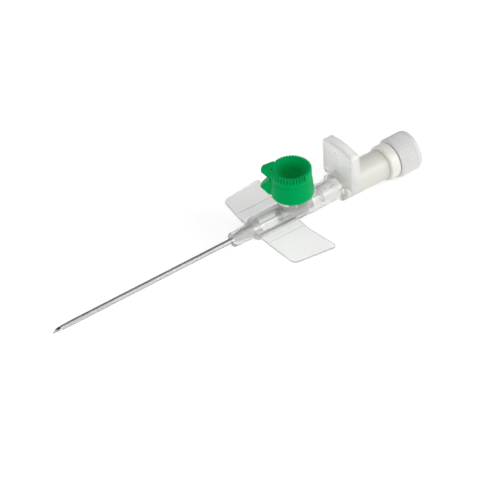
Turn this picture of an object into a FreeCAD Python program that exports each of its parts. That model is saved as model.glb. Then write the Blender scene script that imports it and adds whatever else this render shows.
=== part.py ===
"""Winged intravenous cannula with an injection port, its needle in place. Millimetres, +Z up.

The origin is the centre of the tube where its free length ends, just in front of the hub's nose. The
cannula's axis is X, with the needle's point towards -X, and the injection port stands up along +Z.
"""
import FreeCAD, Part
import os
import re
import Sketcher

SIZES = {
    # catheter tube
    "catheter_length": 45.0,
    "catheter_outer": 0.65,
    "catheter_bore": 0.51,
    "catheter_tip_outer": 0.56,
    "catheter_tip_taper": 3.0,
    "catheter_flare": 3.8,
    # needle
    "needle_outer": 0.48,
    "needle_bore": 0.34,
    "needle_reach": 2.5,
    "needle_into_chamber": 1.0,
    "bevel_length": 2.3,
    "lancet_angle": 35.0,
    "lancet_slope": 0.577,
    # steel bush
    "bush_taper": 0.183,
    "bush_wall": 0.1,
    "bush_needle_gap": 0.06,
    "bush_rim": 0.5,
    # fits
    "seat_gap": 0.01,
    "luer_gap": 0.03,
    "swivel_gap": 0.06,
    "parting_gap": 0.06,
    # hub
    "nose_front": 1.75,
    "nose_rear": 1.95,
    "nose_length": 5.4,
    "nose_setback": 0.15,
    "shoulder_length": 1.1,
    "barrel_outer": 2.9,
    "lumen": 1.83,
    "hub_length": 30.7,
    "luer_mouth": 2.15,
    "luer_depth": 7.5,
    "luer_taper": 0.03,
    "lug_outer": 3.85,
    "lug_thickness": 1.1,
    "lug_angle": 56.0,
    # wings
    "wing_thickness": 0.7,
    "wing_root_height": 0.65,
    "wing_droop_angle": 8.3,
    "wing_root_front": 5.7,
    "wing_root_rear": 16.5,
    "wing_bend_front": 6.3,
    "wing_bend_rear": 16.7,
    "wing_bend_reach": 7.6,
    "wing_tip_front": 7.5,
    "wing_tip_rear": 19.0,
    "wing_tip_front_reach": 14.4,
    "wing_tip_rear_reach": 16.0,
    "wing_corner": 1.6,
    "fold_reach": 6.3,
    "fold_width": 0.7,
    "fold_depth": 0.25,
    # injection port
    "port_place": 17.9,
    "port_boss": 3.7,
    "port_boss_top": 4.8,
    "port_neck": 3.0,
    "port_top": 9.55,
    "port_bead": 3.25,
    "port_bead_rise": 0.9,
    "port_floor": 4.3,
    "port_channel": 0.7,
    "valve_length": 8.8,
    "valve_wall": 0.45,
    # port cap
    "cap_turn_angle": 128.0,
    "collar_base": 5.2,
    "collar_crown": 4.85,
    "collar_top": 9.65,
    "collar_wall": 1.0,
    "collar_edge": 0.6,
    "collar_web": 1.2,
    "lid_outer": 4.75,
    "lid_top": 12.4,
    "dish_outer": 4.15,
    "dish_floor": 3.85,
    "dish_depth": 1.3,
    "stopper_gap": 0.07,
    "stopper_end": 1.6,
    "stopper_length": 1.8,
    "tooth_depth": 0.28,
    "tooth_width": 0.55,
    "tooth_step_angle": 9.0,
    "tooth_start_angle": 28.0,
    "hinge_reach": 4.95,
    "ear_width": 2.8,
    "upper_ear_reach": 6.9,
    "upper_ear_edge": 0.4,
    "lower_ear_reach": 7.3,
    "lower_ear_top": 8.0,
    "lower_ear_edge": 0.4,
    "lower_ear_gap": 0.3,
    # needle hub
    "male_luer_reach": 5.3,
    "plate_gap": 0.25,
    "plate_thickness": 2.6,
    "plate_half_width": 5.5,
    "plate_bottom": 1.4,
    "plate_shoulder": 11.2,
    "plate_crown": 11.9,
    "plate_corner": 1.2,
    "plate_skin": 1.0,
    "plate_rim": 0.9,
    "chamber_outer": 3.85,
    "chamber_wall": 0.9,
    "chamber_floor": 0.8,
    "chamber_length": 10.65,
    # vent plug and filter
    "spigot_length": 2.5,
    "spigot_wall": 0.8,
    "filter_thickness": 0.8,
    "vent_channel": 1.1,
    "flange_outer": 4.55,
    "flange_thickness": 2.7,
    "vent_socket_length": 4.4,
    "vent_luer_depth": 6.0,
    # luer cap
    "cap_outer": 5.1,
    "cap_skirt_bore": 4.05,
    "cap_end": 1.4,
    "cap_end_gap": 0.4,
    "cap_front_gap": 0.15,
    "cap_cone_stand_out": 0.6,
    "cap_edge": 0.5,
    "rib_depth": 0.2,
    "rib_gap_width": 0.4,
    "rib_count": 30.0,
    "rib_end_band": 1.0,
}
TOOTH_COUNT = 14

document = FreeCAD.newDocument("cannula")
sheet = document.addObject("Spreadsheet::Sheet", "Sizes")
for row, (name, value) in enumerate(SIZES.items(), start=1):
    sheet.set("A%d" % row, name)
    sheet.set("B%d" % row, str(value))
    sheet.setAlias("B%d" % row, name)
document.recompute()


def bound(text):
    """Expression text in which every named size points at its cell."""
    def cell(word):
        return "Sizes." + word.group() if word.group() in SIZES else word.group()
    return re.sub(r"[a-z_]+", cell, text)


def new_body(label):
    body = document.addObject("PartDesign::Body", label)
    body.Label = label
    return body


def origin_feature(body, role):
    return next(item for item in body.Origin.OriginFeatures if item.Role == role)


def outline(body, name, plane, corners):
    """Closed sketch of straight runs, each corner placed by two expressions."""
    sketch = body.newObject("Sketcher::SketchObject", name)
    sketch.AttachmentSupport = [(origin_feature(body, plane), "")]
    sketch.MapMode = "FlatFace"
    count = len(corners)
    seeds = [FreeCAD.Vector(index, (index * index) % 5 + 1, 0) for index in range(count)]
    for index in range(count):
        sketch.addGeometry(Part.LineSegment(seeds[index], seeds[(index + 1) % count]), False)
    for index in range(count):
        sketch.addConstraint(Sketcher.Constraint("Coincident", index, 2, (index + 1) % count, 1))
    for index, (across, up) in enumerate(corners):
        place(sketch, index, "DistanceX", across, -2)
        place(sketch, index, "DistanceY", up, -1)
    return sketch


def place(sketch, index, kind, text, axis):
    """Ties the start of one line to an axis, or to a distance from the sketch's origin."""
    if text == "0":
        sketch.addConstraint(Sketcher.Constraint("PointOnObject", index, 1, axis))
        return
    number = sketch.addConstraint(Sketcher.Constraint(kind, -1, 1, index, 1, 1.0))
    sketch.setExpression("Constraints[%d]" % number, bound(text))


def offset(sketch, **shifts):
    """Moves a sketch off its plane by expressions: x, y, z in its own axes."""
    for axis, text in shifts.items():
        sketch.setExpression(".AttachmentOffset.Base." + axis, bound(text))


def tilt(sketch, axis, text):
    """Turns a sketch about one of its own axes by an angle in degrees."""
    sketch.AttachmentOffset = FreeCAD.Placement(FreeCAD.Vector(), FreeCAD.Rotation(axis, 1.0))
    sketch.setExpression(".AttachmentOffset.Rotation.Angle", bound(text))


def turned(body, name, sketch, axis="H_Axis", cut=False, angle=None):
    """Solid, or cut, turned about the sketch's own horizontal or vertical axis."""
    feature = body.newObject("PartDesign::Groove" if cut else "PartDesign::Revolution", name)
    feature.Profile = sketch
    feature.ReferenceAxis = (sketch, [axis])
    if angle:
        feature.Midplane = True
        feature.setExpression("Angle", bound(angle))
    return feature


def padded(body, name, sketch, length, both_ways=False, backwards=False):
    feature = body.newObject("PartDesign::Pad", name)
    feature.Profile = sketch
    feature.setExpression("Length", bound(length))
    feature.Midplane = both_ways
    feature.Reversed = backwards
    return feature


def pocketed(body, name, sketch, length, both_ways=False, backwards=False):
    feature = body.newObject("PartDesign::Pocket", name)
    feature.Profile = sketch
    feature.setExpression("Length", bound(length))
    feature.Midplane = both_ways
    feature.Reversed = backwards
    return feature


def mirrored(body, name, originals, plane):
    feature = body.newObject("PartDesign::Mirrored", name)
    feature.Originals = originals
    feature.MirrorPlane = (origin_feature(body, plane), [""])
    body.Tip = feature
    return feature


def around(body, name, original, axis, angle, count, backwards=False):
    """Copies of one feature about an origin axis, spread over an angle."""
    feature = body.newObject("PartDesign::PolarPattern", name)
    feature.Originals = [original]
    feature.Axis = (origin_feature(body, axis), [""])
    feature.setExpression("Angle", bound(angle))
    feature.setExpression("Occurrences", bound(count))
    feature.Reversed = backwards
    body.Tip = feature
    return feature


def rounded(body, name, radius, wanted):
    """Fillet on the edges that wanted accepts."""
    document.recompute()
    base = body.Tip
    names = ["Edge%d" % (index + 1) for index, edge in enumerate(base.Shape.Edges) if wanted(edge)]
    feature = body.newObject("PartDesign::Fillet", name)
    feature.Base = (base, names)
    feature.setExpression("Radius", bound(radius))
    return feature


def size(name):
    return SIZES[name]


X_AXIS = FreeCAD.Vector(1, 0, 0)
Z_AXIS = FreeCAD.Vector(0, 0, 1)

# Places that several pieces share, written in the names of the sizes
FLARE_GAIN = "(catheter_flare * bush_taper)"
BUSH_FRONT_OUTER = "(needle_outer + bush_needle_gap + bush_wall)"
BUSH_FRONT = "((%s - catheter_bore) / bush_taper)" % BUSH_FRONT_OUTER
BUSH_RIM_OUTER = "(lumen - seat_gap)"
BUSH_WIDE = "((%s - catheter_bore) / bush_taper)" % BUSH_RIM_OUTER
LUMEN_START = "((lumen - catheter_outer - seat_gap) / bush_taper)"
LUER_BOTTOM = "(luer_mouth - luer_depth * luer_taper)"
COLLAR_BOTTOM = "(port_boss_top + parting_gap)"
COLLAR_WEB_TOP = "(%s + collar_web)" % COLLAR_BOTTOM
LID_BOTTOM = "(collar_top + parting_gap)"
MALE_LUER_FRONT = "(hub_length - male_luer_reach)"
PLATE_FRONT = "(hub_length + plate_gap)"
PLATE_BACK = "(%s + plate_thickness)" % PLATE_FRONT
CHAMBER_END = "(%s + chamber_length)" % PLATE_BACK
FLANGE_END = "(%s + flange_thickness)" % CHAMBER_END
VENT_END = "(%s + vent_socket_length)" % FLANGE_END
CAP_INSIDE_END = "(%s + cap_end_gap)" % VENT_END
CAP_BACK = "(%s + cap_end)" % CAP_INSIDE_END
FILTER_BACK = "(%s - spigot_wall)" % CHAMBER_END
FILTER_FRONT = "(%s - filter_thickness)" % FILTER_BACK


def catheter_tube():
    """Thin tube with a tapered tip, flared over the bush from the nose's front on."""
    body = new_body("catheter_tube")
    profile = outline(body, "tube_profile", "XZ_Plane", [
        ("-catheter_length", "catheter_bore"),
        ("-catheter_length", "catheter_tip_outer"),
        ("catheter_tip_taper - catheter_length", "catheter_outer"),
        ("0", "catheter_outer"),
        ("catheter_flare", "catheter_outer + " + FLARE_GAIN),
        ("catheter_flare", "catheter_bore + " + FLARE_GAIN),
        ("0", "catheter_bore"),
    ])
    turned(body, "tube", profile)
    return body


def catheter_bush():
    """Pressed steel funnel that wedges the tube's flare into the hub's nose."""
    body = new_body("catheter_bush")
    profile = outline(body, "bush_profile", "XZ_Plane", [
        (BUSH_FRONT, BUSH_FRONT_OUTER),
        (BUSH_WIDE, BUSH_RIM_OUTER),
        (BUSH_WIDE + " + bush_rim", BUSH_RIM_OUTER),
        (BUSH_WIDE + " + bush_rim", BUSH_RIM_OUTER + " - bush_wall"),
        (BUSH_WIDE, BUSH_RIM_OUTER + " - bush_wall"),
        (BUSH_FRONT, BUSH_FRONT_OUTER + " - bush_wall"),
    ])
    turned(body, "funnel", profile)
    return body


def wing_plane(body, name, corners, height):
    """Sketch on the plane of the far wing, which droops outwards from the barrel."""
    sketch = outline(body, name, "XY_Plane", corners)
    tilt(sketch, X_AXIS, "-wing_droop_angle")
    offset(sketch, z=height)
    return sketch


def catheter_hub():
    """Clear moulding: nose, barrel, two wings, port and the rear luer socket with its lugs."""
    body = new_body("catheter_hub")
    shell = outline(body, "hub_profile", "XZ_Plane", [
        ("nose_setback", "0"),
        ("nose_setback", "nose_front"),
        ("nose_length", "nose_rear"),
        ("nose_length + shoulder_length", "barrel_outer"),
        ("hub_length", "barrel_outer"),
        ("hub_length", "0"),
    ])
    turned(body, "hub_shell", shell)

    neck = outline(body, "port_profile", "XZ_Plane", [
        ("0", "0"),
        ("port_boss", "0"),
        ("port_boss", "port_boss_top"),
        ("port_neck", "port_boss_top"),
        ("port_neck", COLLAR_WEB_TOP + " + parting_gap"),
        ("port_bead", COLLAR_WEB_TOP + " + parting_gap"),
        ("port_neck", COLLAR_WEB_TOP + " + parting_gap + port_bead_rise"),
        ("port_neck", "port_top"),
        ("0", "port_top"),
    ])
    offset(neck, x="port_place")
    turned(body, "port_neck_boss", neck, "V_Axis")

    wing = wing_plane(body, "wing_outline", [
        ("wing_root_front", "lumen"),
        ("wing_root_front", "barrel_outer"),
        ("wing_bend_front", "wing_bend_reach"),
        ("wing_tip_front", "wing_tip_front_reach"),
        ("wing_tip_rear", "wing_tip_rear_reach"),
        ("wing_bend_rear", "wing_bend_reach"),
        ("wing_root_rear", "barrel_outer"),
        ("wing_root_rear", "lumen"),
    ], "wing_root_height")
    wing_pad = padded(body, "wing", wing, "wing_thickness", both_ways=True)

    fold = wing_plane(body, "fold_outline", [
        ("wing_root_front - wing_corner", "fold_reach"),
        ("wing_tip_rear", "fold_reach"),
        ("wing_tip_rear", "fold_reach + fold_width"),
        ("wing_root_front - wing_corner", "fold_reach + fold_width"),
    ], "wing_root_height + wing_thickness / 2")
    fold_cut = pocketed(body, "fold_line", fold, "fold_depth")

    lug = outline(body, "lug_profile", "XY_Plane", [
        ("hub_length - lug_thickness", "luer_mouth"),
        ("hub_length - lug_thickness", "lug_outer"),
        ("hub_length", "lug_outer"),
        ("hub_length", "luer_mouth"),
    ])
    lug_sector = turned(body, "lug", lug, "H_Axis", angle="lug_angle")
    mirrored(body, "other_side", [wing_pad, fold_cut, lug_sector], "XZ_Plane")

    def is_wing_corner(edge):
        ends = [vertex.Point for vertex in edge.Vertexes]
        outboard = all(abs(end.y) > size("wing_bend_reach") + size("wing_corner") for end in ends)
        return outboard and abs(edge.Length / size("wing_thickness") - 1) < 0.1
    rounded(body, "wing_corners", "wing_corner", is_wing_corner)

    bore = outline(body, "bore_profile", "XZ_Plane", [
        ("0", "0"),
        ("0", "catheter_outer + seat_gap"),
        (LUMEN_START, "lumen"),
        ("hub_length - luer_depth", "lumen"),
        ("hub_length - luer_depth", LUER_BOTTOM),
        ("hub_length", "luer_mouth"),
        ("hub_length", "0"),
    ])
    turned(body, "hub_bore", bore, cut=True)

    port_bore = outline(body, "port_bore_profile", "XZ_Plane", [
        ("0", "0"),
        ("port_channel", "0"),
        ("port_channel", "port_floor"),
        ("luer_mouth - (port_top - port_floor) * luer_taper", "port_floor"),
        ("luer_mouth", "port_top"),
        ("0", "port_top"),
    ])
    offset(port_bore, x="port_place")
    turned(body, "port_bore", port_bore, "V_Axis", cut=True)
    return body


def port_valve():
    """Silicone sleeve that closes the port's channel from inside the barrel."""
    body = new_body("port_valve")
    profile = outline(body, "sleeve_profile", "XZ_Plane", [
        ("port_place - valve_length / 2", "lumen - seat_gap - valve_wall"),
        ("port_place - valve_length / 2", "lumen - seat_gap"),
        ("port_place + valve_length / 2", "lumen - seat_gap"),
        ("port_place + valve_length / 2", "lumen - seat_gap - valve_wall"),
    ])
    turned(body, "sleeve", profile)
    return body


def stand_on_port(body):
    """The port cap's pieces are drawn about their own Z axis with the hinge along X."""
    body.Placement = FreeCAD.Placement(FreeCAD.Vector(), FreeCAD.Rotation(Z_AXIS, 1.0))
    body.setExpression(".Placement.Base.x", bound("port_place"))
    body.setExpression(".Placement.Rotation.Angle", bound("cap_turn_angle"))


def port_cap_collar():
    """Lower ring of the port cap: it turns on the port's neck and carries the hinge's lower ear."""
    body = new_body("port_cap_collar")
    profile = outline(body, "collar_profile", "XZ_Plane", [
        ("port_neck + swivel_gap", COLLAR_BOTTOM),
        ("collar_base - collar_edge", COLLAR_BOTTOM),
        ("collar_base", COLLAR_BOTTOM + " + collar_edge"),
        ("collar_crown", "collar_top"),
        ("collar_crown - collar_wall", "collar_top"),
        ("collar_crown - collar_wall", COLLAR_WEB_TOP),
        ("port_neck + swivel_gap", COLLAR_WEB_TOP),
    ])
    turned(body, "ring", profile, "V_Axis")
    ear = outline(body, "lower_ear_outline", "XZ_Plane", [
        ("collar_crown - collar_wall / 2", "collar_top - lower_ear_gap"),
        ("hinge_reach", "collar_top - lower_ear_gap"),
        ("lower_ear_reach", "lower_ear_top"),
        ("lower_ear_reach", "lower_ear_top - lower_ear_edge"),
        ("collar_base", COLLAR_BOTTOM + " + collar_edge"),
        ("collar_crown - collar_wall / 2", COLLAR_BOTTOM + " + collar_edge"),
    ])
    padded(body, "lower_ear", ear, "ear_width", both_ways=True)
    stand_on_port(body)
    return body


def port_cap_lid():
    """Toothed, dished lid with its stopper and the hinge's upper ear."""
    body = new_body("port_cap_lid")
    profile = outline(body, "lid_profile", "XZ_Plane", [
        ("0", LID_BOTTOM + " - stopper_length"),
        ("stopper_end", LID_BOTTOM + " - stopper_length"),
        ("luer_mouth - stopper_gap", LID_BOTTOM),
        ("lid_outer", LID_BOTTOM),
        ("lid_outer", "lid_top"),
        ("dish_outer", "lid_top"),
        ("dish_floor", "lid_top - dish_depth"),
        ("0", "lid_top - dish_depth"),
    ])
    turned(body, "lid", profile, "V_Axis")
    ear = outline(body, "upper_ear_outline", "XZ_Plane", [
        ("dish_outer + tooth_depth", LID_BOTTOM + " + parting_gap"),
        ("hinge_reach", LID_BOTTOM + " + parting_gap"),
        ("upper_ear_reach", "lid_top - upper_ear_edge"),
        ("upper_ear_reach", "lid_top"),
        ("dish_outer + tooth_depth", "lid_top"),
    ])
    padded(body, "upper_ear", ear, "ear_width", both_ways=True)
    for side, sign in (("left", 1), ("right", -1)):
        tooth_gap = outline(body, side + "_tooth_gap", "XY_Plane", [
            ("lid_outer - tooth_depth", "0"),
            ("lid_outer + tooth_depth", "tooth_width"),
            ("lid_outer + tooth_depth", "-tooth_width"),
        ])
        tilt(tooth_gap, Z_AXIS, "%d * tooth_start_angle" % sign)
        offset(tooth_gap, z="lid_top")
        cut = pocketed(body, side + "_tooth_cut", tooth_gap, "lid_top - collar_top")
        around(body, side + "_teeth", cut, "Z_Axis", "tooth_step_angle * %d" % (TOOTH_COUNT - 1),
               str(TOOTH_COUNT), backwards=sign < 0)
    stand_on_port(body)
    return body


def needle():
    """Steel tube with a lancet point: one long bevel and two side grinds, facing up."""
    body = new_body("needle")
    profile = outline(body, "needle_profile", "XZ_Plane", [
        ("-catheter_length - needle_reach", "needle_bore"),
        ("-catheter_length - needle_reach", "needle_outer"),
        (PLATE_BACK + " + chamber_floor + needle_into_chamber", "needle_outer"),
        (PLATE_BACK + " + chamber_floor + needle_into_chamber", "needle_bore"),
    ])
    turned(body, "needle_tube", profile)
    grinds = [
        ("bevel", "0 * lancet_angle", "(2 * needle_outer / bevel_length)", "needle_outer"),
        ("left_grind", "lancet_angle", "lancet_slope", "needle_outer * cos(lancet_angle)"),
        ("right_grind", "-lancet_angle", "lancet_slope", "needle_outer * cos(lancet_angle)"),
    ]
    for name, turn, slope, drop in grinds:
        point = "-catheter_length - needle_reach"
        cut = outline(body, name + "_outline", "XZ_Plane", [
            (point + " - needle_outer", "-%s - %s * needle_outer" % (drop, slope)),
            (point + " + 4 * needle_outer / " + slope, "4 * needle_outer - " + drop),
            (point + " - needle_outer", "4 * needle_outer - " + drop),
        ])
        tilt(cut, X_AXIS, turn)
        pocketed(body, name, cut, "8 * needle_outer", both_ways=True)
    return body


def needle_hub():
    """Clear moulding: male luer, upright grip plate and blood chamber, open at the rear."""
    body = new_body("needle_hub")
    shell = outline(body, "needle_hub_profile", "XZ_Plane", [
        (MALE_LUER_FRONT, "needle_outer + seat_gap"),
        (MALE_LUER_FRONT, "luer_mouth - luer_gap - male_luer_reach * luer_taper"),
        (PLATE_FRONT, "luer_mouth - luer_gap + plate_gap * luer_taper"),
        (PLATE_FRONT, "chamber_outer"),
        (CHAMBER_END, "chamber_outer"),
        (CHAMBER_END, "chamber_outer - chamber_wall"),
        (PLATE_BACK + " + chamber_floor", "chamber_outer - chamber_wall"),
        (PLATE_BACK + " + chamber_floor", "needle_outer + seat_gap"),
    ])
    turned(body, "needle_hub_shell", shell)
    plate = outline(body, "plate_outline", "YZ_Plane", [
        ("plate_half_width", "plate_bottom"),
        ("plate_half_width", "plate_shoulder"),
        ("plate_half_width / 2", "plate_crown - (plate_crown - plate_shoulder) / 4"),
        ("0", "plate_crown"),
        ("-plate_half_width / 2", "plate_crown - (plate_crown - plate_shoulder) / 4"),
        ("-plate_half_width", "plate_shoulder"),
        ("-plate_half_width", "plate_bottom"),
        ("-chamber_outer + chamber_wall", "plate_bottom"),
        ("0", "chamber_outer - chamber_wall / 2"),
        ("chamber_outer - chamber_wall", "plate_bottom"),
    ])
    offset(plate, z=PLATE_FRONT)
    padded(body, "grip_plate", plate, "plate_thickness")
    hollow = outline(body, "plate_hollow_outline", "YZ_Plane", [
        ("plate_half_width - plate_rim", "chamber_outer"),
        ("plate_half_width - plate_rim", "plate_shoulder - plate_rim"),
        ("0", "plate_crown - plate_rim"),
        ("plate_rim - plate_half_width", "plate_shoulder - plate_rim"),
        ("plate_rim - plate_half_width", "chamber_outer"),
    ])
    offset(hollow, z=PLATE_BACK)
    pocketed(body, "plate_hollow", hollow, "plate_thickness - plate_skin")

    def is_plate_corner(edge):
        centre = edge.BoundBox.Center
        at_side = abs(abs(centre.y) - size("plate_half_width")) < 0.01
        at_shoulder = abs(centre.z - size("plate_shoulder")) < 0.01
        return at_side and at_shoulder
    rounded(body, "plate_corners", "plate_corner", is_plate_corner)
    return body


def vent_plug():
    """Milky plug in the chamber's rear: spigot, wide flange and a luer socket with lugs."""
    body = new_body("vent_plug")
    shell = outline(body, "plug_profile", "XZ_Plane", [
        (CHAMBER_END + " - spigot_length", "chamber_outer - chamber_wall - seat_gap - spigot_wall"),
        (CHAMBER_END + " - spigot_length", "chamber_outer - chamber_wall - seat_gap"),
        (CHAMBER_END, "chamber_outer - chamber_wall - seat_gap"),
        (CHAMBER_END, "flange_outer"),
        (FLANGE_END, "flange_outer"),
        (FLANGE_END, "barrel_outer"),
        (VENT_END, "barrel_outer"),
        (VENT_END, "luer_mouth"),
        (VENT_END + " - vent_luer_depth", "luer_mouth - vent_luer_depth * luer_taper"),
        (VENT_END + " - vent_luer_depth", "vent_channel"),
        (FILTER_BACK, "vent_channel"),
        (FILTER_BACK, "chamber_outer - chamber_wall - seat_gap - spigot_wall"),
    ])
    turned(body, "plug_shell", shell)
    lug = outline(body, "plug_lug_profile", "XY_Plane", [
        (VENT_END + " - lug_thickness", "barrel_outer - seat_gap"),
        (VENT_END + " - lug_thickness", "lug_outer"),
        (VENT_END, "lug_outer"),
        (VENT_END, "barrel_outer - seat_gap"),
    ])
    lug_sector = turned(body, "plug_lug", lug, "H_Axis", angle="lug_angle")
    mirrored(body, "plug_lugs", [lug_sector], "XZ_Plane")
    return body


def vent_filter():
    """Round filter that lets air, and no blood, out of the chamber."""
    body = new_body("vent_filter")
    disc = outline(body, "filter_profile", "XZ_Plane", [
        (FILTER_FRONT, "0"),
        (FILTER_FRONT, "chamber_outer - chamber_wall - 2 * seat_gap - spigot_wall"),
        (FILTER_BACK, "chamber_outer - chamber_wall - 2 * seat_gap - spigot_wall"),
        (FILTER_BACK, "0"),
    ])
    turned(body, "disc", disc)
    return body


def luer_cap():
    """White cap on the plug's luer socket: ribbed skirt, closed end and a male cone inside."""
    body = new_body("luer_cap")
    cone_start = FLANGE_END + " - cap_cone_stand_out"
    shell = outline(body, "cap_profile", "XZ_Plane", [
        (cone_start, "0"),
        (cone_start, "luer_mouth - luer_gap - (vent_socket_length + cap_cone_stand_out) * luer_taper"),
        (CAP_INSIDE_END, "luer_mouth - luer_gap + cap_end_gap * luer_taper"),
        (CAP_INSIDE_END, "cap_skirt_bore"),
        (FLANGE_END + " + cap_front_gap", "cap_skirt_bore"),
        (FLANGE_END + " + cap_front_gap", "cap_outer"),
        (CAP_BACK + " - cap_edge", "cap_outer"),
        (CAP_BACK, "cap_outer - cap_edge"),
        (CAP_BACK, "0"),
    ])
    turned(body, "cap_shell", shell)
    gap = outline(body, "rib_gap_outline", "YZ_Plane", [
        ("cap_outer - rib_depth", "0"),
        ("cap_outer + rib_depth", "rib_gap_width"),
        ("cap_outer + rib_depth", "-rib_gap_width"),
    ])
    offset(gap, z=FLANGE_END)
    cut = pocketed(body, "rib_gap", gap, "%s - %s - rib_end_band" % (CAP_BACK, FLANGE_END), backwards=True)
    around(body, "ribs", cut, "X_Axis", "360", "rib_count")
    return body


BUILDERS = (catheter_tube, catheter_bush, catheter_hub, port_valve, port_cap_collar, port_cap_lid,
            needle, needle_hub, vent_plug, vent_filter, luer_cap)
bodies = [build() for build in BUILDERS]
document.recompute()

for item in document.Objects:
    if "Invalid" in item.State or "Error" in item.State:
        raise RuntimeError("%s failed: %s" % (item.Name, item.State))
for body in bodies:
    if body.Shape.isNull() or not body.Shape.isValid():
        raise RuntimeError("%s has no valid shape" % body.Label)

os.makedirs("parts", exist_ok=True)
for body in bodies:
    body.Shape.exportStep("parts/%s.step" % body.Label)
    box = body.Shape.BoundBox
    print("%-18s volume %8.3f  x %.2f..%.2f  y %.2f..%.2f  z %.2f..%.2f  solids %d" % (
        body.Label, body.Shape.Volume, box.XMin, box.XMax, box.YMin, box.YMax, box.ZMin, box.ZMax,
        len(body.Shape.Solids)))
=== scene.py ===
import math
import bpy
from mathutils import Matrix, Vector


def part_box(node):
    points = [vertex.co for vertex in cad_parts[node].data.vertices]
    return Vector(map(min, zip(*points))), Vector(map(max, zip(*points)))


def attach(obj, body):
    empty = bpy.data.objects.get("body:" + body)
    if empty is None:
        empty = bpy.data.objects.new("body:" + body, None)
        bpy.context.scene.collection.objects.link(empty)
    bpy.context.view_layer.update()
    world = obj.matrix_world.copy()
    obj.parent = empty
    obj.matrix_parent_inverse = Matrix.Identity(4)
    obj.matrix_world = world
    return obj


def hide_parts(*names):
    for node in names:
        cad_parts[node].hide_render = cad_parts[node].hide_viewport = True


bl_info = {
    "name": "Winged Cannula",
    "version": (1, 0, 0),
    "blender": (4, 5, 0),
    "location": "3D View > Sidebar > Cannula",
    "description": "Dresses the packed cannula in its clear, milky, green, white and steel pieces",
    "category": "Object",
}

import bmesh
import bpy
from bpy.props import FloatProperty, FloatVectorProperty, IntProperty, PointerProperty
from mathutils import Matrix, Vector

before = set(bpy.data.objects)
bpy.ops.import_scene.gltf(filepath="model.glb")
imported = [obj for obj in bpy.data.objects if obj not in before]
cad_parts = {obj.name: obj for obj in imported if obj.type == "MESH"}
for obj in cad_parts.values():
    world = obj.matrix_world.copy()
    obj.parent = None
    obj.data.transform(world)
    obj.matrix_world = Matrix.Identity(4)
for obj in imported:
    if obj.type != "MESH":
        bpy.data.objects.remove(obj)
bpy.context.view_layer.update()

HUB_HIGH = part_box("catheter_hub")[1]
TUBE_LOW, TUBE_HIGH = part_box("catheter_tube")
NEEDLE_LOW, NEEDLE_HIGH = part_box("needle")
GRIP_LOW, GRIP_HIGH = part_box("needle_hub")
PLUG_LOW, PLUG_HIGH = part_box("vent_plug")
CAP_LOW, CAP_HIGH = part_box("luer_cap")
LID_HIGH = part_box("port_cap_lid")[1]
RING_LOW, RING_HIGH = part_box("port_cap_collar")

X_AXIS = Vector((1, 0, 0))
Y_AXIS = Vector((0, 1, 0))
Z_AXIS = Vector((0, 0, 1))


# Settings

class CannulaSizes(bpy.types.PropertyGroup):
    """Sizes and places of the pieces, in metres and radians, and counts of what repeats."""
    softness: FloatProperty(
        name="Edge softness", description="How far a moulded edge is rounded",
        default=0.00018, min=0.00002, max=0.0003, unit="LENGTH")
    barrel_radius: FloatProperty(
        name="Barrel radius", description="Outer radius of the clear hub's barrel",
        default=0.0029, min=0.0027, max=0.0029, unit="LENGTH")
    lumen_radius: FloatProperty(
        name="Lumen radius", description="Radius of the channel through the hub",
        default=0.00183, min=0.0015, max=0.00183, unit="LENGTH")
    wing_thickness: FloatProperty(
        name="Wing thickness", description="Thickness of the two wings",
        default=0.0007, min=0.0004, max=0.0007, unit="LENGTH")
    wing_droop: FloatProperty(
        name="Wing droop", description="Angle at which the wings hang below level",
        default=math.radians(8.3), min=0.0, max=math.radians(8.3), subtype="ANGLE")
    wing_root_fillet: FloatProperty(
        name="Wing root fillet", description="How far the wing thickens towards the barrel",
        default=0.0003, min=0.0, max=0.001, unit="LENGTH")
    port_place: FloatProperty(
        name="Port place", description="Distance of the injection port from the nose",
        default=0.0179, unit="LENGTH")
    cap_turn: FloatProperty(
        name="Cap turn", description="Direction of the port cap's hinge, seen from above",
        default=math.radians(128.0), subtype="ANGLE")
    tooth_count: IntProperty(
        name="Teeth a side", description="Teeth on each side of the lid's rim",
        default=14, min=4, max=18)
    tooth_start: FloatProperty(
        name="First tooth", description="Angle between the hinge and the first tooth",
        default=math.radians(26.0), subtype="ANGLE")
    tooth_step: FloatProperty(
        name="Tooth step", description="Angle from one tooth to the next",
        default=math.radians(9.0), subtype="ANGLE")
    tooth_radius: FloatProperty(
        name="Tooth radius", description="Roundness of a tooth",
        default=0.00028, min=0.0001, max=0.00034, unit="LENGTH")
    rib_count: IntProperty(
        name="Cap ribs", description="Grip ribs round the white cap",
        default=60, min=12, max=72)
    rib_radius: FloatProperty(
        name="Rib radius", description="Roundness of a grip rib",
        default=0.00017, min=0.0001, max=0.0003, unit="LENGTH")
    gate_radius: FloatProperty(
        name="Gate radius", description="Radius of the moulding's gate mark in the dish",
        default=0.00035, unit="LENGTH")


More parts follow.
